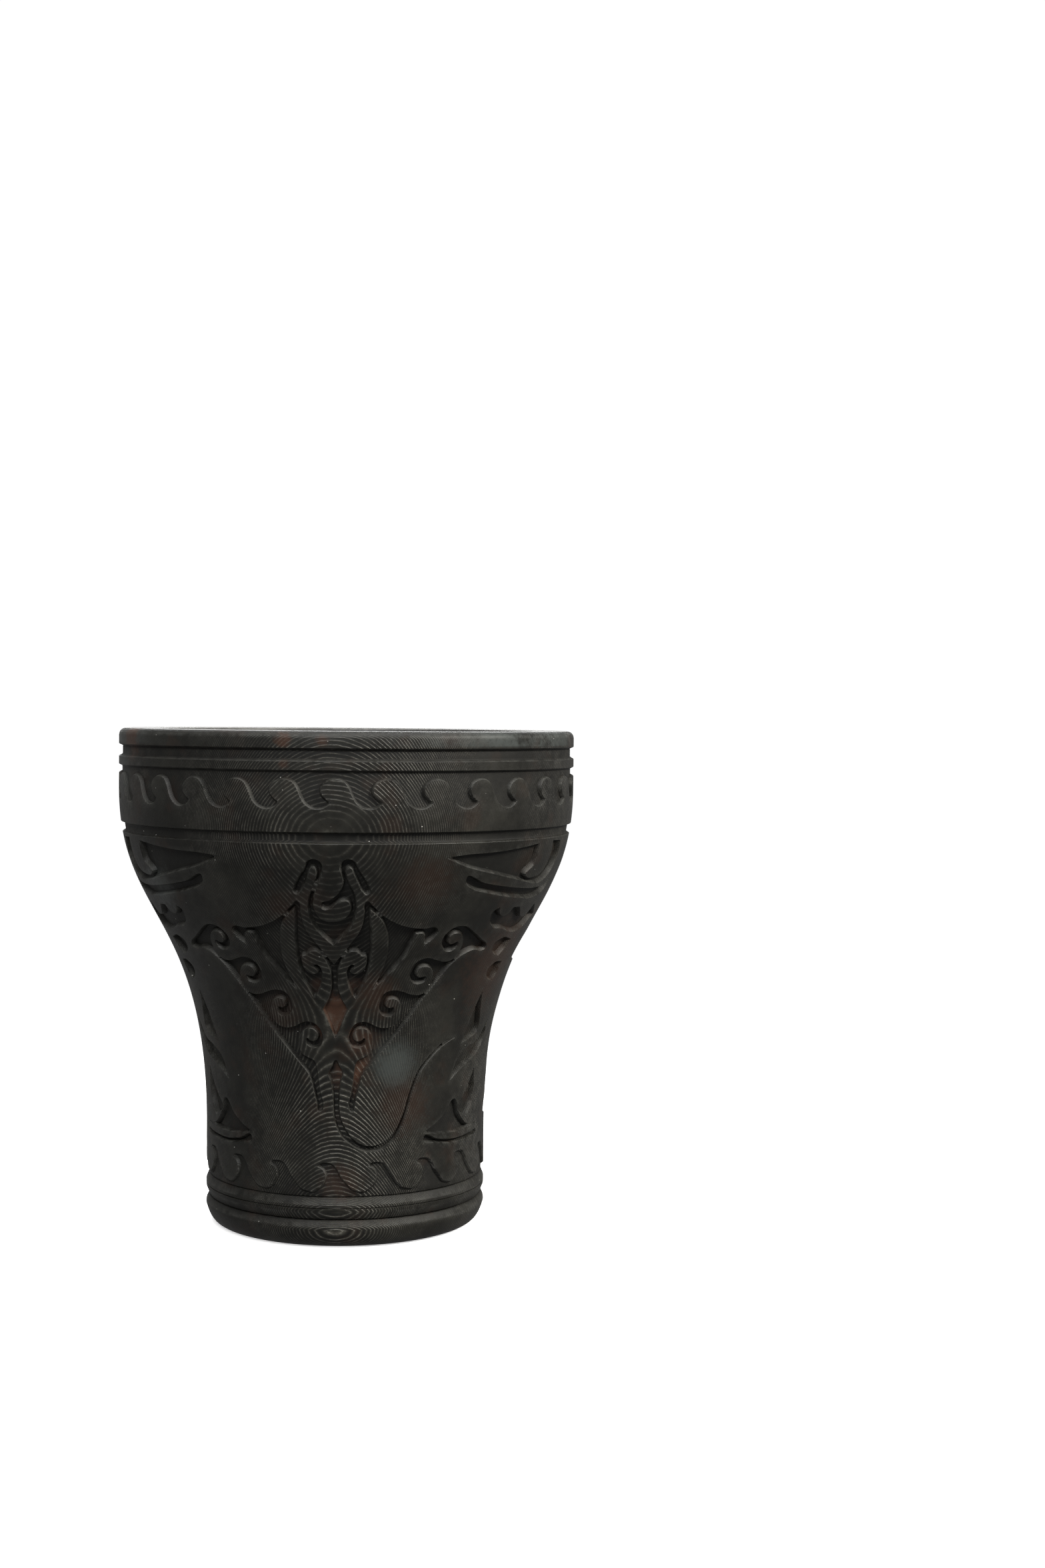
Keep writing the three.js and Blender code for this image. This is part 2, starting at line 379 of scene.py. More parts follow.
wingLeft = [(-52.2, 50.2), (-51.4, 50.9), (-48.8, 51.65), (-44.1, 53.1), (-39.0, 54.45),
            (-36.2, 54.35), (-34.1, 53.55), (-33.0, 52.45), (-33.3, 51.4), (-34.3, 50.6),
            (-35.9, 50.15), (-38.0, 50.35), (-39.1, 51.1), (-38.8, 51.75), (-37.4, 51.45),
            (-36.1, 51.4), (-35.1, 52.1), (-35.3, 52.85), (-36.6, 53.3), (-38.9, 53.1), (-40.7, 52.0),
            (-41.0, 50.7), (-40.2, 49.2), (-38.6, 48.5), (-36.0, 48.3), (-32.5, 48.75), (-29.5, 49.15),
            (-27.5, 48.95), (-25.5, 48.2), (-24.5, 46.9), (-24.7, 45.9), (-26.2, 44.95),
            (-28.3, 44.75), (-30.2, 45.15), (-30.5, 45.9), (-29.2, 45.85), (-27.8, 45.85),
            (-26.7, 46.5), (-27.2, 47.35), (-29.2, 47.75), (-31.4, 47.4), (-32.8, 46.5), (-33.2, 45.2),
            (-32.5, 43.8), (-30.2, 42.85), (-26.3, 42.85), (-22.9, 43.45), (-19.9, 43.75),
            (-17.0, 43.4), (-15.4, 42.3), (-15.0, 41.0), (-15.9, 39.8), (-17.9, 39.3), (-19.9, 39.4),
            (-20.8, 40.2), (-20.3, 40.8), (-18.9, 40.7), (-17.5, 41.1), (-17.6, 41.9), (-19.3, 42.35),
            (-21.8, 41.9), (-23.1, 40.5), (-23.1, 39.0), (-21.5, 37.8), (-18.5, 37.25), (-15.0, 37.5),
            (-12.2, 38.15), (-9.5, 38.45), (-6.9, 38.0), (-5.0, 36.7), (-4.8, 35.2), (-6.4, 34.15),
            (-9.2, 34.1), (-10.9, 34.9), (-10.6, 35.6), (-9.1, 35.15), (-7.3, 35.2), (-6.3, 36.1),
            (-8.2, 37.25), (-11.2, 37.1), (-12.9, 36.0), (-13.5, 34.5), (-12.8, 33.0), (-10.4, 32.3),
            (-8.0, 31.7), (-7.1, 30.5), (-6.7, 28.8), (-5.8, 26.1), (-4.8, 24.2), (-5.5, 23.2),
            (-6.8, 23.1), (-7.3, 24.3), (-8.6, 26.9), (-10.1, 29.3), (-13.7, 31.4), (-19.6, 34.6),
            (-25.6, 38.2), (-31.0, 42.2), (-34.9, 44.9), (-39.0, 47.8), (-42.6, 49.4), (-46.7, 50.1),
            (-50.6, 49.8)]
tail = [(0, 31.9), (-1.3, 31.0), (-2.8, 29.6), (-1.9, 28.3), (-1.1, 25.7), (-0.5, 21.7), (2.2, 19.0),
        (6.7, 17.3), (12.2, 16.3), (17.9, 16.6), (23.7, 18.4), (27.3, 21.2), (29.9, 25.2),
        (32.7, 28.5), (37.8, 31.5), (43.4, 33.5), (49.0, 34.6, 1), (43.5, 34.1), (37.9, 32.3),
        (32.1, 29.3), (29.1, 25.8), (26.3, 21.9), (22.9, 19.3), (17.6, 17.5), (12.2, 17.25),
        (7.5, 18.2), (4.4, 19.8), (1.9, 22.2), (1.4, 25.7), (2.1, 28.4), (2.8, 29.6), (1.3, 31.0)]

# the side figure: degrees from the front, for the left side; it mirrors about the side's own axis
sideLoops = [
    # brow blade with a hook standing in it
    [(-28.4, 66.3, 1), (-34.0, 66.7), (-42.0, 66.9), (-50.0, 67.3), (-59.2, 67.9, 1), (-59.6, 65.8),
     (-58.8, 64.2), (-56.9, 63.4), (-56.2, 62.8), (-57.6, 62.2), (-61.1, 62.1), (-65.2, 62.9),
     (-67.0, 64.6), (-67.5, 66.6), (-67.0, 68.2, 1), (-72.6, 68.0, 1), (-73.6, 65.4), (-71.4, 62.6),
     (-66.0, 61.0), (-59.5, 61.3), (-52.7, 62.1), (-43.0, 63.4), (-34.6, 64.7)],
    [(-35.0, 62.8), (-41.0, 61.8), (-47.0, 61.1), (-56.0, 60.4), (-64.0, 60.1), (-71.0, 60.5),
     (-75.0, 61.6, 1), (-73.0, 59.6), (-66.0, 58.4), (-57.5, 58.7), (-49.0, 59.4), (-43.0, 60.1),
     (-37.4, 61.0), (-35.4, 61.8)],
    # lash-like drips
    [(-50.4, 57.3, 1), (-48.2, 56.4), (-48.6, 55.1), (-51.9, 53.6, 1), (-56.0, 53.4), (-60.8, 52.7),
     (-66.3, 52.4), (-71.5, 53.1), (-76.0, 55.0, 1), (-71.0, 57.0, 1), (-69.0, 55.6), (-66.9, 54.9),
     (-64.4, 55.1), (-60.8, 56.9, 1), (-57.4, 57.0, 1), (-55.8, 55.9), (-53.8, 55.6), (-51.6, 56.1)],
    # scales
    [(-66.0, 51.0, 1), (-59.6, 51.5), (-55.8, 50.3), (-57.2, 49.2), (-62.0, 48.3, 1), (-64.6, 49.6)],
    [(-67.0, 47.0, 1), (-61.6, 47.0), (-58.5, 45.7), (-60.0, 44.6), (-65.0, 43.7, 1), (-66.4, 45.2)],
    # long blades and drop above the fin
    [(-48.6, 27.1, 1), (-52.4, 30.8), (-57.6, 32.3), (-65.0, 33.4), (-72.0, 36.5, 1), (-70.4, 33.0),
     (-66.0, 31.0), (-58.6, 29.6), (-54.0, 28.6)],
    [(-53.4, 33.4, 1), (-56.6, 37.6), (-60.0, 42.0, 1), (-62.4, 38.4), (-63.4, 35.2), (-58.4, 34.0)],
    [(-54.6, 22.0), (-57.6, 20.9), (-61.0, 20.1, 1), (-64.6, 21.8), (-66.6, 24.6), (-65.4, 28.4, 1),
     (-61.2, 25.4), (-57.4, 23.6)],
    # fin: a low triangle over a curved groove
    [(-35.6, 18.7, 1), (-40.8, 19.7), (-46.0, 21.2), (-52.6, 23.6), (-55.6, 21.0), (-61.0, 18.9),
     (-70.0, 18.4, 1), (-60.0, 18.1), (-50.6, 18.0), (-43.3, 18.2)],
    [(-36.2, 17.9), (-43.3, 17.3), (-50.6, 16.85), (-60.0, 16.9), (-70.0, 17.3), (-76.0, 18.0, 1),
     (-70.0, 16.7), (-60.0, 16.2), (-50.6, 16.2), (-43.3, 16.7)],
]
# on the side's own axis, closed shapes that cross it: degrees from the axis
sideMiddle = [
    [(0, 66.0, 1), (5.6, 62.0), (4.6, 58.0), (0, 54.6, 1), (-4.6, 58.0), (-5.6, 62.0)],
    [(0, 52.6, 1), (8.0, 50.6), (13.0, 46.0, 1), (7.0, 46.6), (0, 45.0), (-7.0, 46.6),
     (-13.0, 46.0, 1), (-8.0, 50.6)],
    [(0, 42.6, 1), (4.4, 39.0), (7.2, 33.4), (5.0, 28.4), (0, 25.0, 1), (-5.0, 28.4), (-7.2, 33.4),
     (-4.4, 39.0)],
    [(0, 22.8, 1), (6.0, 20.6), (9.0, 18.0, 1), (0, 18.6), (-9.0, 18.0, 1), (-6.0, 20.6)],
]


def placed(loops, scale):
    return [smoothLoop(points, scale) for points in loops]


def mirrorOf(points):
    return [(-p[0],) + tuple(p[1:]) for p in reversed(points)]


def shifted(points, turn):
    return [(p[0] + turn,) + tuple(p[1:]) for p in points]


def waveLoop(wave, pitch, side):
    # the wave line repeated well past the tile, closed by a straight line at the other side of the recess
    line = [q for k in range(-3, 4) for q in shifted(wave, pitch * k)]
    first, last = line[0], line[-1]
    return [first[:2] + (1,)] + line[1:-1] + [last[:2] + (1,), (last[0], side, 1), (first[0], side, 1)]


def frontLoops():
    left = [headLeft + headRight, bodyLeft + bodyFoot + mirrorOf(bodyLeft[1:]), tail]
    pairs = [wingLeft] + sideLoops
    middle = [shifted(loop, side) for loop in sideMiddle for side in (-90, 90)]
    return left + pairs + [mirrorOf(loop) for loop in pairs] + middle


def wrapped(name, sheet, scale):
    # lays a flat sheet on the turned skin; pockets sink at right angles to it
    verts, faces, sink, wearAndHighlight = sheet
    turn = np.radians(verts[:, 0] / scale)
    slope = skinSlope(verts[:, 1])
    length = np.sqrt(1 + slope ** 2)
    r = skinRadius(verts[:, 1]) - sink / length
    z = verts[:, 1] + sink * slope / length
    mesh = newMesh(name, np.stack([r * np.sin(turn), -r * np.cos(turn), z], 1) * mm, faces)
    # sunk: how far a point lies in a pocket; it darkens the floor as painted shade and also sets floor
    # stains and roughness
    addValues(mesh, {"sunk": np.clip(sink / 0.4, 0, 1), "worn": wearAndHighlight})
    return newObject(name, mesh)


def addValues(mesh, values):
    for name, numbers in values.items():
        layer = mesh.attributes.new(name, "FLOAT", "POINT")
        layer.data.foreach_set("value", np.asarray(numbers, "f"))


def newTree(name, inputs):
    # a Geometry Nodes tree with named inputs
    tree = bpy.data.node_groups.new(name, "GeometryNodeTree")
    tree.interface.new_socket(name="Geometry", in_out="INPUT", socket_type="NodeSocketGeometry")
    for label, kind in inputs:
        tree.interface.new_socket(name=label, in_out="INPUT", socket_type="NodeSocket" + kind)
    tree.interface.new_socket(name="Geometry", in_out="OUTPUT", socket_type="NodeSocketGeometry")
    given = tree.nodes.new("NodeGroupInput")
    sockets = {s.name: Wire(tree, s) for s in given.outputs if s.name}
    return tree, sockets


def closeTree(tree, geometry):
    out = tree.nodes.new("NodeGroupOutput")
    tree.links.new(geometry.socket, out.inputs["Geometry"])


def runTree(thing, tree, values):
    # evaluates the tree on the object and gives back a plain mesh
    modifier = thing.modifiers.new("nodes", "NODES")
    modifier.node_group = tree
    for item in tree.interface.items_tree:
        if item.in_out == "INPUT" and item.name in values:
            modifier[item.identifier] = values[item.name]
    graph = bpy.context.evaluated_depsgraph_get()
    mesh = bpy.data.meshes.new_from_object(thing.evaluated_get(graph), preserve_all_data_layers=True,
                                           depsgraph=graph)
    thing.modifiers.clear()
    return mesh


def ringTree():
    # one carved sheet repeated round the bowl's axis
    tree, given = newTree("tilesRoundAxis", [("Count", "Int"), ("Weld", "Float"), ("Material", "Material")])
    index = make(tree, "GeometryNodeInputIndex")
    points = make(tree, "GeometryNodePoints", inputs={"Count": given["Count"]})
    turn = index * (2 * math.pi) / given["Count"]
    spin = make(tree, "ShaderNodeCombineXYZ", inputs={"Z": turn})
    copies = make(tree, "GeometryNodeInstanceOnPoints",
                  inputs={"Points": points, "Instance": given["Geometry"], "Rotation": spin})
    real = make(tree, "GeometryNodeRealizeInstances", inputs={"Geometry": copies})
    joined = make(tree, "GeometryNodeMergeByDistance", inputs={"Geometry": real, "Distance": given["Weld"]})
    closeTree(tree, make(tree, "GeometryNodeSetMaterial",
                         inputs={"Geometry": joined, "Material": given["Material"]}))
    return tree


def drillTree(finishes):
    # cuts a middle hole and a ring of holes, then gives every region of the bowl its finish
    names = [("Hole Radius", "Float"), ("Ring Radius", "Float"), ("Ring Holes", "Int"), ("Low", "Float"),
             ("High", "Float"), ("Sides", "Int"), ("Drilled Region", "Int")]
    tree, given = newTree("smokeHoles", names + [(finish, "Material") for finish in finishes])
    index = make(tree, "GeometryNodeInputIndex")
    points = make(tree, "GeometryNodePoints", inputs={"Count": given["Ring Holes"] + 1})
    reach = index.calc("MINIMUM", 1.0) * given["Ring Radius"]
    turn = (index - 1) * (2 * math.pi) / given["Ring Holes"]
    place = make(tree, "ShaderNodeCombineXYZ", inputs={"X": reach * turn.calc("SINE"),
                                                       "Y": -(reach * turn.calc("COSINE")),
                                                       "Z": (given["Low"] + given["High"]) / 2})
    moved = make(tree, "GeometryNodeSetPosition", inputs={"Geometry": points, "Position": place})
    cutter = make(tree, "GeometryNodeMeshCylinder",
                  inputs={"Vertices": given["Sides"], "Radius": given["Hole Radius"],
                          "Depth": given["High"] - given["Low"]})
    copies = make(tree, "GeometryNodeInstanceOnPoints", inputs={"Points": moved, "Instance": cutter})
    real = make(tree, "GeometryNodeRealizeInstances", inputs={"Geometry": copies})
    marked = make(tree, "GeometryNodeStoreNamedAttribute", {"data_type": "INT", "domain": "FACE"},
                  {"Geometry": real, "Name": "region", "Value": given["Drilled Region"]})
    drilled = make(tree, "GeometryNodeMeshBoolean", {"operation": "DIFFERENCE", "solver": "MANIFOLD"},
                   {"Mesh 1": given["Geometry"], "Mesh 2": marked})
    region = make(tree, "GeometryNodeInputNamedAttribute", {"data_type": "INT"}, {"Name": "region"})
    for number, finish in enumerate(finishes):
        chosen = make(tree, "FunctionNodeCompare", {"data_type": "INT", "operation": "EQUAL"},
                      {2: region, 3: number})
        drilled = make(tree, "GeometryNodeSetMaterial",
                       inputs={"Geometry": drilled, "Selection": chosen, "Material": given[finish]})
    closeTree(tree, drilled)
    return tree


def turnedRows(rows):
    # rows of (radius, height, sides, region); faces look outwards where the rows run down the outside
    verts, faces, regions = [], [], []
    earlier = None
    for row in rows:
        if row is None:
            earlier = None
            continue
        radius, height, sides, region = row
        start = len(verts)
        if radius < 1e-6:
            sides = 1
        for j in range(sides):
            turn = 2 * math.pi * j / sides
            verts.append((radius * math.sin(turn), -radius * math.cos(turn), height))
        if earlier is not None:
            new = stitch(earlier, (start, sides))
            faces += new
            regions += [region] * len(new)
        earlier = (start, sides)
    return np.array(verts), faces, regions


def stitch(upper, lower):
    # faces between two rows; one row may have a whole number of times the other's points, or be one point
    (a, n), (b, m) = upper, lower
    if n == m:
        return [(a + j, b + j, b + (j + 1) % m, a + (j + 1) % n) for j in range(n)]
    if n == 1:
        return [(a, b + j, b + (j + 1) % m) for j in range(m)]
    if m == 1:
        return [(a + j, b, a + (j + 1) % n) for j in range(n)]
    faces = []
    if n > m:
        k = n // m
        for j in range(m):
            here, there = b + j, b + (j + 1) % m
            for i in range(k):
                near = here if i < (k + 1) // 2 else there
                if i == (k + 1) // 2:
                    faces.append((a + (k * j + i) % n, here, there))
                faces.append((a + (k * j + i) % n, near, a + (k * j + i + 1) % n))
        return faces
    return stitchWide(a, n, b, m)


def stitchWide(a, n, b, m):
    # the lower row has more points than the upper one
    faces = []
    k = m // n
    half = (k + 1) // 2
    for j in range(n):
        here, there = a + j, a + (j + 1) % n
        for i in range(k):
            if i == half:
                faces.append((here, b + k * j + i, there))
            near = here if i < half else there
            faces.append((near, b + k * j + i, b + (k * j + i + 1) % m))
    return faces


def bandRows(heights, fine):
    # rows of the turned bands from (height, depth), top first
    return [(float(skinRadius(z)) - depth, z, fine, 0) for z, depth in heights]


def bowlRows():
    b = body
    fine, coarse = b["turns"], b["turns"] // 3
    carved, rim, cup, raw = range(4)
    mouth = b["rimRadius"] - b["rimWall"]
    deep = b["cupDepth"] - b["cupLedge"]
    sphere = (mouth ** 2 + deep ** 2) / (2 * deep)
    middle = b["height"] - b["cupDepth"] + sphere
    widest = math.asin(mouth / sphere)
    top = b["height"]
    steps = b["steps"]
    # the cup from its middle up to the mouth, then the flat rim and its rounded outer edge
    rows = []
    for i in range(steps["cup"] + 1):
        angle = widest * i / steps["cup"]
        rows.append((sphere * math.sin(angle), middle - sphere * math.cos(angle), coarse, cup))
    for (out, down), region in zip(b["innerEdge"], (cup, rim, rim)):
        rows.append((mouth + out, top - down, coarse, region))
    rows.append((b["rimRadius"] - b["rimEdge"] - 0.1, top, fine, rim))
    for i in range(steps["rim"] + 1):
        angle = math.pi / 2 * (1 - i / steps["rim"])
        rows.append((b["rimRadius"] - b["rimEdge"] * (1 - math.cos(angle)),
                     top - b["rimEdge"] * (1 - math.sin(angle)), fine, rim if i == 0 else carved))
    # the bands outside; the carved sheets fill the gaps between them
    rows += bandRows([(top - down, depth) for down, depth in rimBands], fine)
    rows += [None] + bandRows([(top - down, depth) for down, depth in middleGroove], fine) + [None]
    rows += bandRows(footBands, fine)
    foot, bend = b["stemRadius"], b["footEdge"]
    inward = foot - b["footFlat"]
    for i in range(1, steps["foot"] + 1):
        t = i / steps["foot"]
        rows.append((foot - 2 * b["footLean"] * t * (1 - t) - inward * t * t,
                     bend * (1 - t) ** 2 + 2 * b["footRise"] * t * (1 - t), fine, carved))
    # the underside, the tapered socket and the smoke chamber up to the middle of its ceiling
    taper = (b["socketMouth"] - b["neckRadius"]) / b["neckHeight"]
    chamfer = b["mouthChamfer"]
    rows += [(b["socketMouth"] + chamfer, 0, coarse, raw),
             (b["socketMouth"] - taper * chamfer, chamfer, coarse, raw)]
    ceiling = sphere + b["floor"]
    shoulder = middle - math.sqrt(ceiling ** 2 - b["chamberRadius"] ** 2) - b["chamberWall"]
    rise = shoulder - b["neckHeight"]
    above, below = b["chamberPull"]
    for i in range(steps["chamber"] + 1):
        t = 1 - i / steps["chamber"]
        r = bezier((b["chamberRadius"], b["chamberRadius"], b["neckRadius"], b["neckRadius"]), t)
        z = bezier((shoulder, shoulder - rise * above, b["neckHeight"] + rise * below, b["neckHeight"]), t)
        rows.append((r, z, coarse, raw))
    for i in range(steps["ceiling"] + 1):
        r = b["chamberRadius"] * (1 - i / steps["ceiling"])
        rows.append((r, middle - math.sqrt(ceiling ** 2 - r * r), coarse, raw))
    return rows


def meshArrays(mesh):
    verts = np.zeros(len(mesh.vertices) * 3)
    mesh.vertices.foreach_get("co", verts)
    faces = [tuple(p.vertices) for p in mesh.polygons]
    values = {}
    for name in ("sunk", "worn"):
        numbers = np.zeros(len(mesh.vertices), "f")
        if name in mesh.attributes:
            mesh.attributes[name].data.foreach_get("value", numbers)
        values[name] = numbers
    return verts.reshape(-1, 3), faces, values


def weldedMesh(name, meshes, regions):
    # joins meshes into one, keeps the carving values and the region of each face, and closes the seams
    verts, faces, marks = [], [], []
    values = {"sunk": [], "worn": []}
    count = 0
    for mesh, region in zip(meshes, regions):
        own, ownFaces, ownValues = meshArrays(mesh)
        verts.append(own)
        faces += [tuple(v + count for v in face) for face in ownFaces]
        marks += region if isinstance(region, list) else [region] * len(ownFaces)
        for key in values:
            values[key].append(ownValues[key])
        count += len(own)
    whole = newMesh(name, np.vstack(verts), faces)
    addValues(whole, {key: np.concatenate(numbers) for key, numbers in values.items()})
    layer = whole.attributes.new("region", "INT", "FACE")
    layer.data.foreach_set("value", np.array(marks, "i"))
    bm = bmesh.new()
    bm.from_mesh(whole)
    bmesh.ops.remove_doubles(bm, verts=bm.verts, dist=seam)
    bmesh.ops.triangulate(bm, faces=bm.faces)
    loose = sum(1 for edge in bm.edges if not edge.is_manifold)
    bm.to_mesh(whole)
    bm.free()
    print(name, "edges left open", loose)
    return whole


def newMaterial(name):
    material = bpy.data.materials.new(name)
    material.use_nodes = True
    tree = material.node_tree
    tree.nodes.clear()
    return material, tree


def finishMaterial(tree, constants, varying):
    # a Principled surface: constants sit on the shader, varying things are linked
    shader = tree.nodes.new("ShaderNodeBsdfPrincipled")
    for name, value in constants.items():
        shader.inputs[name].default_value = value
    for name, wire in varying.items():
        tree.links.new(wire.socket, shader.inputs[name])
    out = tree.nodes.new("ShaderNodeOutputMaterial")
    tree.links.new(shader.outputs["BSDF"], out.inputs["Surface"])


def mixColour(tree, factor, first, second):
    # sockets 0, 6 and 7 are the mix node's factor and colours
    return make(tree, "ShaderNodeMix", {"data_type": "RGBA", "clamp_factor": True},
                {0: factor, 6: first, 7: second}, 2)


def noise(tree, place, scale, detail=3.0, rough=0.55):
    return make(tree, "ShaderNodeTexNoise",
                inputs={"Vector": place, "Scale": scale, "Detail": detail, "Roughness": rough})


def ramp(wire, low, high):
    # 0 below low, 1 above high, eased between
    return make(wire.tree, "ShaderNodeMapRange", {"interpolation_type": "SMOOTHSTEP"},
                {"Value": wire, "From Min": low, "From Max": high})


def attribute(tree, name):
    return make(tree, "ShaderNodeAttribute", {"attribute_name": name}, output=2)


def millimetres(tree):
    # the piece's own coordinates, in mm
    place = make(tree, "ShaderNodeTexCoord", output=3)
    return make(tree, "ShaderNodeVectorMath", {"operation": "SCALE"}, {0: place, "Scale": 1 / mm})


clay = {
    "base": (0.0065, 0.0063, 0.005, 1),
    "pale": (0.0152, 0.0147, 0.0118, 1),
    "brown": (0.034, 0.0155, 0.0085, 1),
    # painted highlight colour for the tool-pass ridges
    "ridgeAndHighlight": (0.152, 0.145, 0.122, 1),
    "speck": (0.42, 0.41, 0.38, 1),
    # painted shade colour for pocket floors, band creases and the valleys between tool passes
    "hollow": (0.0035, 0.0035, 0.003, 1),
    # paler burnished colour, also painted as a sheen
    "polishAndSheen": (0.046, 0.052, 0.049, 1),
    "floorBrown": (0.06, 0.028, 0.016, 1),
    # painted highlight colour of the rubbed pocket edges
    "edge": (0.17, 0.17, 0.155, 1),
    "cutStep": 0.17,     # depth of one tool pass
    "lean": 0.24,        # how much the passes lean back with height
    "bulge": (0.9, 62.0, 7.5),   # the passes dip a little here: depth, height, half width
    "wobble": 0.09,      # how far the passes stray
    "ridgeHeight": 0.09,
    # reddish patches: degrees from the front, height, size, strength
    "patches": [(-62, 85.0, 3.6, 1.6), (-11, 85.2, 1.6, 1.1), (-2, 85.2, 1.2, 0.7),
                (-11, 81.3, 1.1, 0.7), (10, 35, 3.4, 0.7), (14, 43, 4.5, 0.5), (27, 24, 6, 0.4),
                (3, 11, 4, 0.5), (-13, 58, 4, 0.35), (24, 62, 6, 0.35), (62, 47, 10, 0.5),
                (-20, 40, 5, 0.3), (150, 52, 9, 0.5), (205, 30, 7, 0.4), (118, 76, 6, 0.4),
                (-130, 20, 6, 0.4)],
    # patches on pocket floors only
    "floorPatches": [(0.2, 39.0, 4.6, 1.8), (-5.8, 44.6, 1.8, 0.4), (5.8, 44.6, 1.8, 0.4),
                     (7, 29.5, 4.5, 1.0), (180.2, 39, 4.6, 1.4), (187, 30, 4, 0.8)],
    "polished": [(22.5, 31, 4.8, 0.8), (-56, 60, 5, 0.6), (-70, 80, 6, 0.4), (200, 45, 6, 0.7),
                 (100, 40, 6, 0.5)],
    "lip": 84.2,
}


def spots(tree, place, patches, blur):
    # soft blobs on the skin, joined
    total = None
    for turn, height, size, strength in patches:
        angle = math.radians(turn)
        r = float(skinRadius(height))
        centre = (r * math.sin(angle), -r * math.cos(angle), height)
        gap = make(tree, "ShaderNodeVectorMath", {"operation": "DISTANCE"}, {0: place, 1: centre}, 1)
        near = (1 - ramp(gap + blur * size, size * 0.2, size * 1.15)) * strength
        total = near if total is None else total.calc("MAXIMUM", near)
    return total


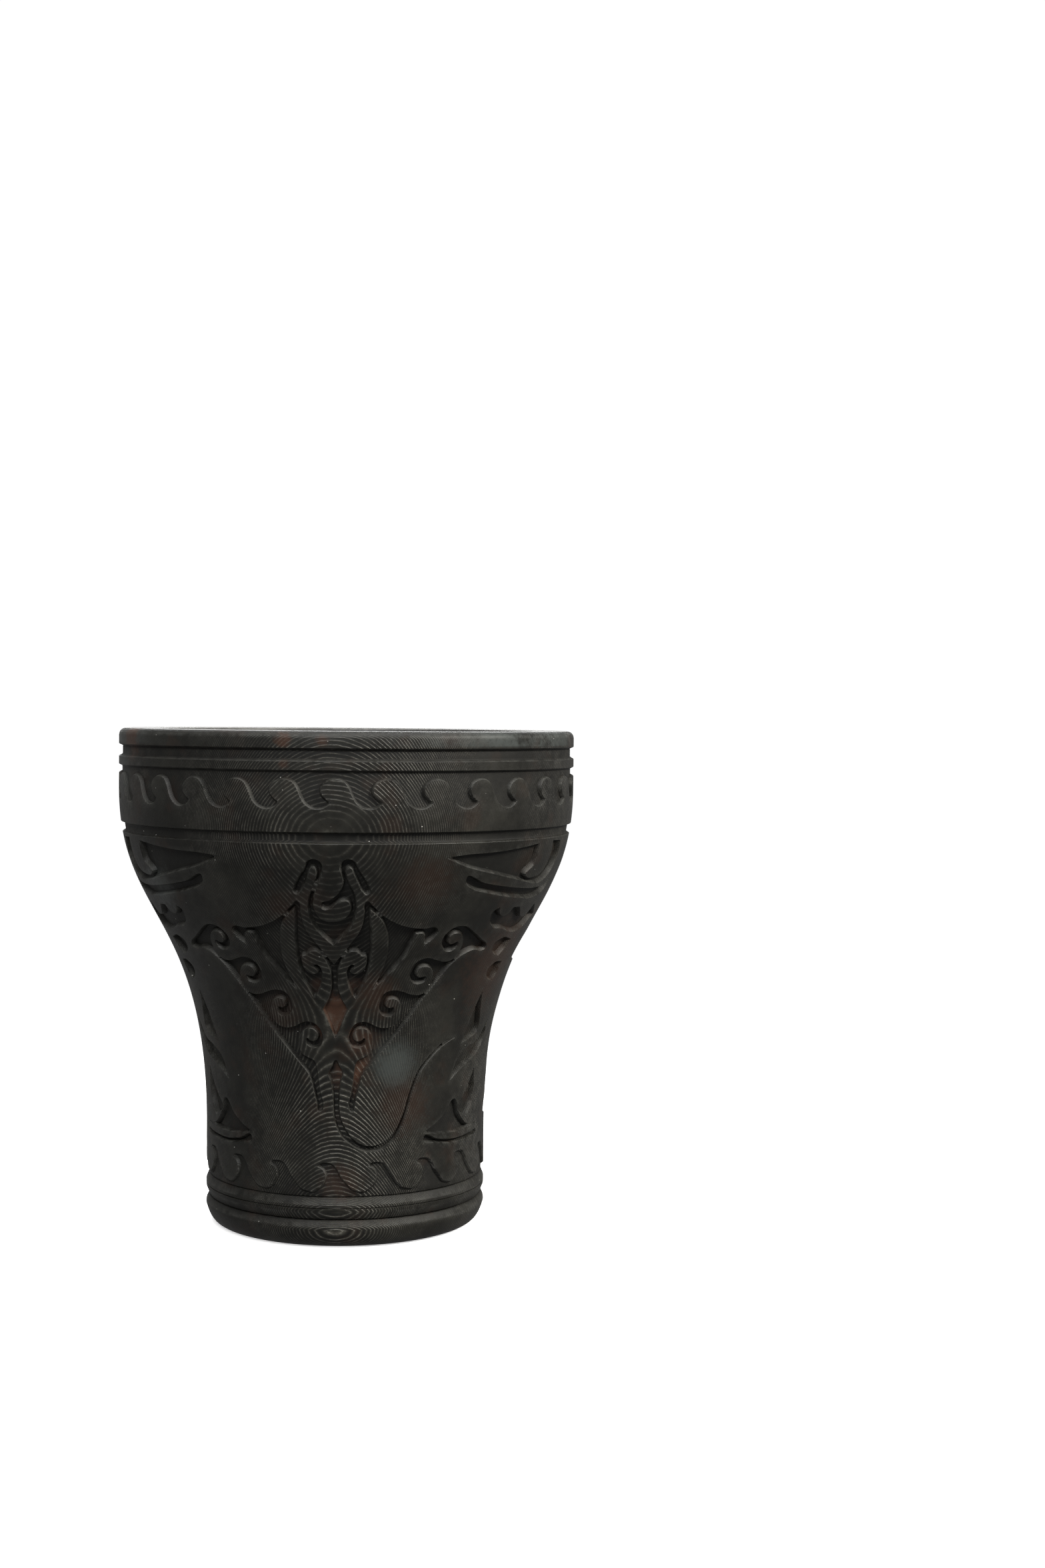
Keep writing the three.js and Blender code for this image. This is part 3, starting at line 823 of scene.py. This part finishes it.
def carvedClay():
    c = clay
    material, tree = newMaterial("carved_black_clay")
    big = millimetres(tree)
    x, y, z = [make(tree, "ShaderNodeSeparateXYZ", inputs={0: big}, output=i) for i in range(3)]
    ax, ay = x.calc("ABSOLUTE"), y.calc("ABSOLUTE")
    wobble = noise(tree, big, 0.35, 3.0) - 0.5
    dip, dipAt, dipWide = c["bulge"]
    offset = (z - dipAt) / dipWide
    bulge = (offset * offset * -1.0).calc("EXPONENT") * dip
    depthIn = ax.calc("MAXIMUM", ay) - z * c["lean"] - bulge + wobble * c["wobble"]
    saw = ((depthIn / c["cutStep"]).calc("FRACT") * 2 - 1).calc("ABSOLUTE")
    ridgeAndHighlight = saw ** 4
    # the valleys between passes, darkened below as painted shade
    valley = (1 - saw) ** 3
    # the passes fade where the wall turns away from the tool, and where the clay was rubbed
    share = ax.calc("MINIMUM", ay) / (ax.calc("MAXIMUM", ay) + 0.001)
    facing = 1 - ramp(share, 0.55, 0.9) * 0.85
    fresh = noise(tree, big, 0.9, 4.0, 0.7)
    cloud = noise(tree, big, 0.12, 4.0, 0.6)
    rubbed = ramp(noise(tree, big, 0.07, 3.0), 0.4, 0.6)
    # the middle of the bowl was rubbed more than the bands above and below it
    calm = 1 - ramp(z, 38.0, 44.0) * (1 - ramp(z, 64.0, 69.0)) * 0.6
    # and hardly any stay where the wall lies flat under the tool
    flat = (1 - ramp(share, 0.05, 0.3)) * ramp(z, 54.0, 62.0) * (1 - ramp(z, 72.0, 76.0))
    broken = 0.35 + ramp(noise(tree, big, 0.55, 5.0, 0.75), 0.38, 0.58) * 0.75
    cut = facing * (0.4 + rubbed * 0.6) * calm * (1 - flat * 0.75) * broken
    polished = (spots(tree, big, c["polished"], (fresh - 0.5) * 1.2)).calc("MINIMUM", 1.0)
    lip = ramp(z, c["lip"] - 0.1, c["lip"] + 0.3)
    cut = cut * (1 - polished * 0.75) * (1 - lip * 0.45)
    # the tool marks: ridges raised in the bump, and painted pale as a highlight in the colour
    marks = ridgeAndHighlight * cut
    sunk, worn = attribute(tree, "sunk"), attribute(tree, "worn")
    colour = mixColour(tree, ramp(cloud, 0.42, 0.7), c["base"], c["pale"])
    stain = spots(tree, big, c["patches"], (fresh - 0.5) * 1.4 + (cloud - 0.5) * 0.8)
    floorStain = spots(tree, big, c["floorPatches"], (fresh - 0.5) * 0.9) * sunk
    faint = ramp(noise(tree, big, 0.16, 3.0), 0.54, 0.72) * 0.22
    # the lip is rubbed, and painted pale as a highlight on its right and as a reflection at its far left
    highlightSide = ramp(x, 2.0, 30.0).calc("MAXIMUM", ramp(-x, 30.0, 38.0)) * 0.75 + 0.05
    rubAndHighlight = lip * ramp(cloud + (fresh - 0.5) * 0.5, 0.3, 0.6) * highlightSide
    colour = mixColour(tree, rubAndHighlight, colour, c["polishAndSheen"])
    # painted shade: the pocket floors and the bands' creases are darkened
    colour = mixColour(tree, sunk * 0.5, colour, c["hollow"])
    colour = mixColour(tree, stain.calc("MAXIMUM", faint).calc("MINIMUM", 1.0), colour, c["brown"])
    colour = mixColour(tree, floorStain.calc("MINIMUM", 1.0), colour, c["floorBrown"])
    # polished spots: burnished smoother, and painted paler as a sheen
    colour = mixColour(tree, polished, colour, c["polishAndSheen"])
    # painted shade in the valleys between the tool passes
    colour = mixColour(tree, valley * cut * 0.8, colour, c["hollow"])
    # painted highlight along the tool-pass ridges
    colour = mixColour(tree, marks * (0.5 + ramp(fresh, 0.4, 0.62) * 0.5), colour, c["ridgeAndHighlight"])
    # edges of the pockets are rubbed, and painted bright as a highlight line, most where a tool pass meets
    # them
    edge = worn * (0.15 + ridgeAndHighlight * 0.85) * ramp(noise(tree, big, 0.45, 3.0, 0.7), 0.36, 0.6)
    colour = mixColour(tree, edge * 0.55, colour, c["edge"])
    cells = make(tree, "ShaderNodeTexVoronoi", inputs={"Vector": big, "Scale": 0.5})
    rare = ramp(noise(tree, big, 0.4, 2.0), 0.55, 0.62)
    speck = (1 - ramp(cells, 0.03, 0.07)) * rare
    colour = mixColour(tree, speck * 0.8, colour, c["speck"])
    rough = 0.47 + (fresh - 0.5) * 0.3 + sunk * 0.15 - polished * 0.1 + speck * 0.2
    grain = noise(tree, big, 3.2, 4.0, 0.7)
    height = marks * c["ridgeHeight"] + grain * 0.012 + fresh * 0.035 + speck * 0.02
    bump = make(tree, "ShaderNodeBump", inputs={"Strength": 1.0, "Distance": mm, "Height": height})
    finishMaterial(tree, {"Specular IOR Level": 0.24},
                   {"Base Color": colour, "Roughness": rough, "Normal": bump})
    return material


rimClay = {
    "dark": (0.045, 0.045, 0.043, 1),
    "dusty": (0.12, 0.118, 0.112, 1),
    "soot": (0.03, 0.029, 0.027, 1),
    "ring": (0.16, 0.158, 0.15, 1),
    "ringTurn": 9.0,     # radians per mm
}


def sandedClay():
    # the flat rim face: ground grey, with the rings of the turning tool
    material, tree = newMaterial("sanded_rim_clay")
    big = millimetres(tree)
    x, y = [make(tree, "ShaderNodeSeparateXYZ", inputs={0: big}, output=i) for i in range(2)]
    radius = (x * x + y * y).calc("SQRT")
    turns = radius * rimClay["ringTurn"]
    rings = ((turns + noise(tree, big, 0.2) * 3.0).calc("SINE") + 1) * 0.5
    dust = noise(tree, big, 0.8, 5.0, 0.7)
    soot = noise(tree, big, 0.1, 3.0)
    colour = mixColour(tree, ramp(dust, 0.35, 0.7), rimClay["dark"], rimClay["dusty"])
    colour = mixColour(tree, ramp(soot, 0.52, 0.7) * 0.6, colour, rimClay["soot"])
    colour = mixColour(tree, rings * 0.15, colour, rimClay["ring"])
    rough = 0.62 + (dust - 0.5) * 0.3
    height = rings * 0.008 + dust * 0.03
    bump = make(tree, "ShaderNodeBump", inputs={"Strength": 0.8, "Distance": mm, "Height": height})
    finishMaterial(tree, {}, {"Base Color": colour, "Roughness": rough, "Normal": bump})
    return material


cupClay = {
    "dark": (0.016, 0.016, 0.0155, 1),
    "pale": (0.036, 0.0355, 0.034, 1),
    "dusty": (0.075, 0.074, 0.07, 1),
    "ringTurn": 5.5,     # radians per mm
}


def burnishedCup():
    # the cup: rubbed smooth, semi-gloss, with faint turning rings
    material, tree = newMaterial("burnished_cup_clay")
    big = millimetres(tree)
    z = make(tree, "ShaderNodeSeparateXYZ", inputs={0: big}, output=2)
    cloud = noise(tree, big, 0.1, 4.0, 0.6)
    fine = noise(tree, big, 1.6, 4.0, 0.65)
    turns = z * cupClay["ringTurn"]
    rings = ((turns + cloud * 6.0).calc("SINE") + 1) * 0.5
    colour = mixColour(tree, ramp(cloud, 0.4, 0.7), cupClay["dark"], cupClay["pale"])
    colour = mixColour(tree, ramp(fine, 0.6, 0.8) * 0.3, colour, cupClay["dusty"])
    rough = 0.34 + (fine - 0.5) * 0.2 + ramp(cloud, 0.5, 0.7) * 0.1
    height = rings * 0.012 + fine * 0.012
    bump = make(tree, "ShaderNodeBump", inputs={"Strength": 0.7, "Distance": mm, "Height": height})
    finishMaterial(tree, {"Coat Roughness": 0.3, "Coat Weight": 0.12},
                   {"Base Color": colour, "Roughness": rough, "Normal": bump})
    return material


insideClay = {
    "dark": (0.026, 0.0245, 0.022, 1),
    "brown": (0.055, 0.046, 0.039, 1),
    "dusty": (0.13, 0.125, 0.118, 1),
}


def rawClay():
    # underside, socket, chamber and drilled holes: unburnished, a little brown, dusty
    material, tree = newMaterial("raw_black_clay")
    big = millimetres(tree)
    cloud = noise(tree, big, 0.14, 4.0, 0.6)
    dust = noise(tree, big, 1.3, 5.0, 0.75)
    colour = mixColour(tree, ramp(cloud, 0.35, 0.7), insideClay["dark"], insideClay["brown"])
    colour = mixColour(tree, ramp(dust, 0.55, 0.8) * 0.4, colour, insideClay["dusty"])
    rough = 0.78 + (dust - 0.5) * 0.25
    bump = make(tree, "ShaderNodeBump", inputs={"Strength": 0.8, "Distance": mm, "Height": dust * 0.06})
    finishMaterial(tree, {}, {"Base Color": colour, "Roughness": rough, "Normal": bump})
    return material


silicone = {
    "black": (0.012, 0.012, 0.013, 1),
    "dusty": (0.07, 0.07, 0.068, 1),
}


def mattSilicone():
    material, tree = newMaterial("matt_black_silicone")
    big = millimetres(tree)
    cloud = noise(tree, big, 0.3, 3.0)
    dust = noise(tree, big, 2.4, 4.0, 0.7)
    colour = mixColour(tree, ramp(dust, 0.55, 0.8) * 0.35, silicone["black"], silicone["dusty"])
    rough = 0.55 + (cloud - 0.5) * 0.2 + (dust - 0.5) * 0.15
    bump = make(tree, "ShaderNodeBump", inputs={"Strength": 0.5, "Distance": mm, "Height": dust * 0.02})
    finishMaterial(tree, {"Specular IOR Level": 0.4},
                   {"Base Color": colour, "Roughness": rough, "Normal": bump})
    return material


finishes = {"Carved": carvedClay(), "Rim": sandedClay(), "Cup": burnishedCup(), "Raw": rawClay()}
print("finishes made")


def buildBowl():
    b = body
    edges = [b["height"] - g for g in (rimBands[-1][0], middleGroove[0][0], middleGroove[-1][0])]
    middle = 15.4
    zones = [
        # name, outlines, lowest, highest, first and last degree, copies, reference radius, pocket depth
        ("foot_waves", [waveLoop(footWave, 20, 7.6)], footBands[0][0], middle, -15, 5, 18, 24.8,
         carving["footWaveDepth"]),
        ("ray_figures", frontLoops(), middle, edges[2], -90, 90, 2, 31.0, carving["depth"]),
        ("upper_waves", [waveLoop(upperWave, 12, edges[0] + 1.5)], edges[1], edges[0], -2, 10, 30, 39.8,
         carving["waveDepth"]),
    ]
    ring = ringTree()
    meshes = []
    for name, loops, low, high, start, end, copies, radius, depth in zones:
        scale = radius * math.pi / 180
        sheet = carvedSheet(name, placed(loops, scale), start * scale, end * scale, low, high, depth,
                            end - start)
        tile = wrapped(name, sheet, scale)
        mesh = runTree(tile, ring, {"Count": copies, "Weld": seam, "Material": finishes["Carved"]})
        meshes.append(mesh)
        print(name, "laid round the bowl", len(mesh.polygons), "faces")
        bpy.data.objects.remove(tile)
    verts, faces, regions = turnedRows(bowlRows())
    turned = newMesh("turned", verts * mm, faces)
    # the bands' creases are darkened as painted shade, and their edges carry a rubbed line that is also
    # painted as a highlight
    inward = skinRadius(verts[:, 2]) - np.hypot(verts[:, 0], verts[:, 1])
    banded = (inward < 1.2) & (verts[:, 2] > footBands[-1][0])
    addValues(turned, {"sunk": np.where(banded, np.interp(inward, [0.05, 0.9], [0, 1.6]), 0),
                       "worn": np.where(banded & (inward > 0.03) & (inward < 0.1), 0.6, 0)})
    meshes.append(turned)
    whole = newObject("blank", weldedMesh("blank", meshes, [0, 0, 0, regions]))
    drilled = runTree(whole, drillTree(list(finishes)), {
        "Hole Radius": b["holeRadius"] * mm, "Ring Radius": b["holeRing"] * mm,
        "Ring Holes": b["ringHoles"], "Sides": b["holeSides"],
        "Low": b["holeLow"] * mm, "High": b["holeHigh"] * mm,
        "Drilled Region": list(finishes).index("Raw"), **finishes})
    bpy.data.objects.remove(whole)
    drilled.name = "carved_bowl"
    drilled.set_sharp_from_angle(angle=math.radians(b["crease"]))
    print("carved_bowl", len(drilled.polygons), "faces")
    return newObject("carved_bowl", drilled)


seal = {
    "bottom": 9.0,
    "height": 20.0,
    "gap": 0.3,
    "bore": 8.6,
    "boreTaper": 0.6,
    "lip": 2.4,
    "ribs": 3,
    "ribHeight": 2.2,
    "ribDepth": 0.9,
    "cornerRadius": 0.35,
    "sides": 128,
    "crease": 40,
}


def roundedProfile(points, radius, steps=4):
    # every corner of a closed profile becomes a short curve
    out = []
    count = len(points)
    for i in range(count):
        before, here, after = (np.array(points[j % count], float) for j in (i - 1, i, i + 1))
        back, ahead = before - here, after - here
        cut = min(radius, np.linalg.norm(back) * 0.45, np.linalg.norm(ahead) * 0.45)
        start = here + back / np.linalg.norm(back) * cut
        end = here + ahead / np.linalg.norm(ahead) * cut
        for k in range(steps + 1):
            t = k / steps
            out.append((1 - t) ** 2 * start + 2 * t * (1 - t) * here + t * t * end)
    return out


def buildSeal():
    s = seal
    taper = (body["socketMouth"] - body["neckRadius"]) / body["neckHeight"]
    top = s["bottom"] + s["height"]

    def outer(z):
        return body["socketMouth"] - taper * z - s["gap"]

    pitch = (s["height"] - s["lip"]) / s["ribs"]
    profile = [(s["bore"], top)]
    for i in reversed(range(s["ribs"])):
        ribTop = s["bottom"] + s["lip"] + pitch * (i + 1)
        ribLow = ribTop - s["ribHeight"]
        valley = ribTop - pitch
        profile += [(outer(ribTop), ribTop), (outer(ribLow), ribLow),
                    (outer(ribLow) - s["ribDepth"], ribLow - s["ribDepth"] / 2),
                    (outer(valley) - s["ribDepth"], valley + s["ribDepth"] / 2)]
    profile += [(outer(s["bottom"] + s["lip"]), s["bottom"] + s["lip"]), (outer(s["bottom"]), s["bottom"]),
                (s["bore"] + s["boreTaper"], s["bottom"])]
    rows = [(r, z, s["sides"], 0) for r, z in roundedProfile(profile, s["cornerRadius"])]
    verts, faces, _ = turnedRows(rows + rows[:1])
    mesh = newMesh("stem_sleeve", verts * mm, faces)
    bm = bmesh.new()
    bm.from_mesh(mesh)
    bmesh.ops.remove_doubles(bm, verts=bm.verts, dist=1e-6)
    loose = sum(1 for edge in bm.edges if not edge.is_manifold)
    bm.to_mesh(mesh)
    bm.free()
    print("stem_sleeve", len(mesh.polygons), "faces, edges left open", loose)
    for face in mesh.polygons:
        face.use_smooth = True
    mesh.set_sharp_from_angle(angle=math.radians(s["crease"]))
    mesh.materials.append(mattSilicone())
    return newObject("stem_sleeve", mesh)


bowl = buildBowl()
sleeve = buildSeal()
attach(bowl, "bowl")
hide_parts("clay_bowl")
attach(sleeve, "seal")
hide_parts("stem_seal")


def paleFloor():
    # fades into the white surroundings, and is clear from below so that the socket can be looked at
    reach, low = 1.0, -0.0002
    corners = [(-reach, -reach, low), (reach, -reach, low), (reach, reach, low), (-reach, reach, low)]
    mesh = newMesh("floor", corners, [(0, 1, 2, 3)])
    material, tree = newMaterial("pale_floor")
    place = make(tree, "ShaderNodeTexCoord", output=3)
    away = make(tree, "ShaderNodeVectorMath", {"operation": "LENGTH"}, {0: place}, 1)
    behind = make(tree, "ShaderNodeNewGeometry", output=6)
    shader = make(tree, "ShaderNodeBsdfPrincipled",
                  inputs={"Base Color": (0.9, 0.9, 0.9, 1), "Roughness": 0.7, "Specular IOR Level": 0.2,
                          "Emission Color": (1, 1, 1, 1), "Emission Strength": 0.55})
    clear = make(tree, "ShaderNodeBsdfTransparent")
    fade = behind.calc("MAXIMUM", ramp(away, 0.1, 0.24))
    mixed = make(tree, "ShaderNodeMixShader", inputs={0: fade, 1: shader, 2: clear})
    out = tree.nodes.new("ShaderNodeOutputMaterial")
    tree.links.new(mixed.socket, out.inputs["Surface"])
    mesh.materials.append(material)
    floor = newObject("floor", mesh)
    floor.visible_diffuse = False     # so that the bright floor doesn't wash out the dark clay
    floor.visible_glossy = False


def softLight(name, place, aim, size, power, colour=(1, 1, 1)):
    lamp = bpy.data.lights.new(name, "AREA")
    lamp.shape = "DISK"
    lamp.size = size
    lamp.energy = power
    lamp.color = colour
    thing = bpy.data.objects.new(name, lamp)
    scene.collection.objects.link(thing)
    thing.location = place
    thing.rotation_euler = (Vector(aim) - Vector(place)).to_track_quat("-Z", "Y").to_euler()


light = {"background": 1.02, "surround": 0.26, "overhead": 11.0, "side": 8.5, "front": 9.0, "back": 7.0}


def studio():
    world = bpy.data.worlds.new("studio")
    world.use_nodes = True
    tree = world.node_tree
    tree.nodes.clear()
    seen = make(tree, "ShaderNodeLightPath")
    # the camera sees white, the clay only a dim surround
    strength = light["surround"] + seen * (light["background"] - light["surround"])
    sky = make(tree, "ShaderNodeBackground", inputs={"Color": (1, 1, 1, 1), "Strength": strength})
    out = tree.nodes.new("ShaderNodeOutputWorld")
    tree.links.new(sky.socket, out.inputs["Surface"])
    scene.world = world
    softLight("overhead", (0.05, -0.05, 1.0), (0, 0, 0), 0.9, light["overhead"])
    softLight("side", (0.62, -0.3, 0.5), (0, 0, 0.07), 0.28, light["side"], (1, 0.965, 0.9))
    softLight("front", (-0.15, -0.9, 0.75), (0, 0, 0.05), 0.5, light["front"])
    softLight("back", (-0.1, 0.95, 0.6), (0, 0, 0.05), 0.6, light["back"])
    scene.view_settings.view_transform = "Standard"


def placeCamera():
    away, turn, height = 0.37284, math.radians(3.96), 0.0898
    heading, pitch, roll = math.radians(-0.806), math.radians(90 - 1.933), math.radians(0.5395)
    data = bpy.data.cameras.new("camera")
    data.sensor_width = 36
    data.lens = 48.05
    data.clip_start = 0.01
    thing = bpy.data.objects.new("camera", data)
    scene.collection.objects.link(thing)
    thing.matrix_world = (Matrix.Translation((away * math.sin(turn), -away * math.cos(turn), height))
                          @ Matrix.Rotation(heading, 4, "Z") @ Matrix.Rotation(pitch, 4, "X")
                          @ Matrix.Rotation(roll, 4, "Z"))
    scene.camera = thing


paleFloor()
studio()
placeCamera()
print("floor, light and camera placed")
